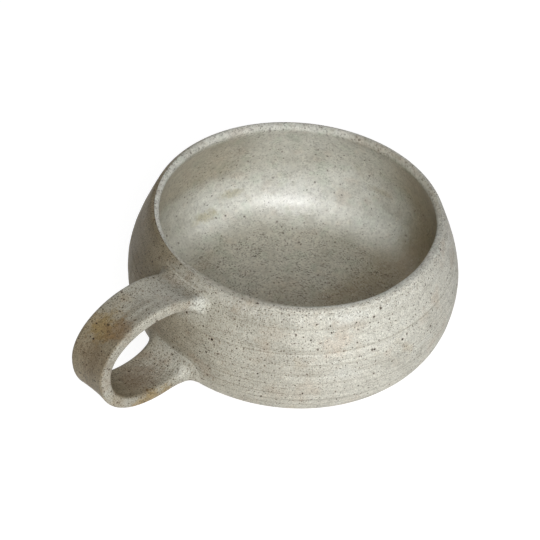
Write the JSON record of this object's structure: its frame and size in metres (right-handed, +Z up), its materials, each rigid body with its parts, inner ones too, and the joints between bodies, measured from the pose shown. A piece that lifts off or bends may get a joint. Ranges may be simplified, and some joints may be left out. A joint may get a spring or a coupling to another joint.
{
  "type": "coffee mug",
  "caption": "Low, wide wheel-thrown stoneware coffee mug with a rounded belly, a leaning shoulder and a pulled strap handle, in a speckled grey-beige satin glaze",
  "frame": {"origin": "On the table plane, at the middle of the foot ring, on the bowl's axis", "axes": "+Z is up along the bowl's axis, +X points out of the bowl along the middle of the handle, and +Y completes a right-handed frame"},
  "size_m": [0.1698, 0.13, 0.0591],
  "materials": {
    "stoneware_clay": "fired, unglazed, matte",
    "liner_glaze": "satin, with fine iron specks",
    "outside_glaze": "satin-matte, with fine iron specks"
  },
  "bodies": {
    "root": {"thrown_bowl": "stoneware_clay", "strap_handle": "stoneware_clay", "upper_joint": "stoneware_clay", "lower_joint": "stoneware_clay", "inside_glaze": "liner_glaze", "outside_glaze": "outside_glaze", "handle_glaze": "outside_glaze"}
  },
  "joints": []
}
